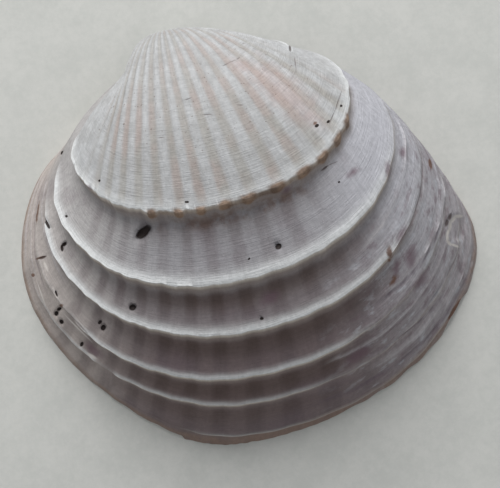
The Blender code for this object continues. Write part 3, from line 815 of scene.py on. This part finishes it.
    tree.links.new(colour, surface.inputs["Base Color"])
    surface.inputs["Roughness"].default_value = 0.62
    surface.inputs["Specular IOR Level"].default_value = 0.35
    height = maths(tree, "MULTIPLY_ADD", threads, 0.12, product(tree, grain, 0.08))
    height = maths(tree, "MULTIPLY_ADD", fibres, 0.06, height)
    height = maths(tree, "MULTIPLY_ADD", crack, -0.12, height)
    height = maths(tree, "MULTIPLY_ADD", maths(tree, "MAXIMUM", hole, crevice), -0.25, height)
    bump = node(tree, "ShaderNodeBump", {"Strength": 1.0, "Distance": MM, "Height": height})
    tree.links.new(bump.outputs[0], surface.inputs["Normal"])
    return material


# The scars of the front and the back muscle, as seen from above, like the holes, and where the mantle's
# line runs, as a share of the way out from the bowl's middle.
SCARS = [(-17.5, 5.0, 10.5, 6.5, 70), (21.0, 3.0, 11.0, 7.5, 110)]
MANTLE_LINE = 0.82
PORCELAIN_WHITE, PORCELAIN_CREAM = sRGB(226, 220, 210), sRGB(212, 202, 190)
INSIDE_MAUVE, MANTLE_BEIGE, SCAR_BEIGE = sRGB(178, 154, 172), sRGB(190, 178, 164), sRGB(190, 176, 164)


def smooth_inside():
    """The inside: porcelain white, faintly mauve towards the back end, with the two scars of the muscles
    that closed the valves and the line along which the mantle was fixed between them."""
    material = bpy.data.materials.new("smooth_inside")
    material.use_nodes = True
    tree = material.node_tree
    surface = tree.nodes["Principled BSDF"]
    body = node(tree, "ShaderNodeTexCoord", {}).outputs["Object"]
    clouds = noise(tree, body, 60.0, 4.0)
    colour = blend(tree, ramp(tree, clouds, 0.3, 0.7), PORCELAIN_WHITE, PORCELAIN_CREAM)
    across = node(tree, "ShaderNodeSeparateXYZ", {0: body}).outputs[0]
    colour = blend(tree, ramp(tree, across, 0.006, 0.032, 0.0, 0.5), colour, INSIDE_MAUVE)
    off_line = maths(tree, "SUBTRACT", attribute(tree, "bowl_step"), MANTLE_LINE)
    off_line = maths(tree, "ABSOLUTE", off_line)
    colour = blend(tree, ramp(tree, off_line, 0.03, 0.01, 0.0, 0.4), colour, MANTLE_BEIGE)
    scar = ramp(tree, nearest_oval(tree, scaled(tree, body, (1.0, 1.0, 1.0)), SCARS), 1.05, 0.92)
    colour = blend(tree, product(tree, scar, 0.5), colour, SCAR_BEIGE)
    tree.links.new(colour, surface.inputs["Base Color"])
    tree.links.new(ramp(tree, scar, 0.0, 1.0, 0.38, 0.22), surface.inputs["Roughness"])
    return material


mesh.materials.append(worn_outside())
mesh.materials.append(smooth_inside())
outside_faces = len(between(outer))
kinds = np.zeros(len(mesh.polygons), dtype=np.int32)
kinds[outside_faces : len(quads)] = 1
kinds[len(mesh.polygons) - inner.shape[1] :] = 1
mesh.polygons.foreach_set("material_index", kinds)
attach(valve, "root")
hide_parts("valve")

# The sheet of pale paper that the valve lies on, with soft light from one side of a window.
FLOOR_SIZE = 2.0
PAPER_GREY, PAPER_WHITE = sRGB(198, 199, 194), sRGB(208, 208, 203)
floor_mesh = bpy.data.meshes.new("paper")
half = 0.5 * FLOOR_SIZE
floor_mesh.from_pydata(
    [(-half, -half, 0.0), (half, -half, 0.0), (half, half, 0.0), (-half, half, 0.0)], [], [(0, 1, 2, 3)]
)
floor = bpy.data.objects.new("paper", floor_mesh)
bpy.context.scene.collection.objects.link(floor)


def paper():
    """Pale paper with a slight mottle."""
    material = bpy.data.materials.new("paper")
    material.use_nodes = True
    tree = material.node_tree
    surface = tree.nodes["Principled BSDF"]
    body = node(tree, "ShaderNodeTexCoord", {}).outputs["Object"]
    coarse = noise(tree, body, 180.0, 4.0, 0.6)
    fine = noise(tree, body, 900.0, 4.0, 0.8)
    mottle = ramp(tree, maths(tree, "ADD", coarse, fine), 0.7, 1.3)
    colour = blend(tree, mottle, PAPER_GREY, PAPER_WHITE)
    tree.links.new(colour, surface.inputs["Base Color"])
    surface.inputs["Roughness"].default_value = 0.9
    surface.inputs["Specular IOR Level"].default_value = 0.1
    return material


floor_mesh.materials.append(paper())

# The camera looks straight down from the height at which the photo was taken, turned so that the hinge
# line slopes as it does there. The light comes from beyond the hinge.
CAMERA_HEIGHT = 0.26
CAMERA_TURN = math.radians(-12.5)
CAMERA_PLACE = (0.00048, -0.00215)
SEEN_WIDTH = 0.0775
SENSOR = 36.0

camera_data = bpy.data.cameras.new("camera")
camera_data.sensor_width = SENSOR
camera_data.lens = SENSOR * CAMERA_HEIGHT / SEEN_WIDTH
camera = bpy.data.objects.new("camera", camera_data)
camera.location = (*CAMERA_PLACE, CAMERA_HEIGHT)
camera.rotation_euler = (0.0, 0.0, CAMERA_TURN)
bpy.context.scene.collection.objects.link(camera)
bpy.context.scene.camera = camera


def soft_light(name, azimuth, elevation, distance, size, power, colour):
    """A square area light that faces the valve. Azimuth is in degrees from the picture's right."""
    data = bpy.data.lights.new(name, "AREA")
    data.size = size
    data.energy = power
    data.color = colour
    light = bpy.data.objects.new(name, data)
    around = math.radians(azimuth) + CAMERA_TURN
    up = math.radians(elevation)
    aim = np.array([math.cos(around) * math.cos(up), math.sin(around) * math.cos(up), math.sin(up)])
    light.location = aim * distance
    light.rotation_euler = (math.pi / 2 - up, 0.0, around + math.pi / 2)
    bpy.context.scene.collection.objects.link(light)


soft_light(
    "window", azimuth=103.0, elevation=32.0, distance=0.6, size=0.42, power=3.9, colour=(1.0, 1.0, 1.0)
)

ROOM_COLOUR, ROOM_STRENGTH = (0.95, 0.97, 1.0, 1.0), 0.4
world = bpy.data.worlds.new("room")
world.use_nodes = True
world.node_tree.nodes["Background"].inputs["Color"].default_value = ROOM_COLOUR
world.node_tree.nodes["Background"].inputs["Strength"].default_value = ROOM_STRENGTH
bpy.context.scene.world = world
bpy.context.scene.view_settings.view_transform = "Standard"
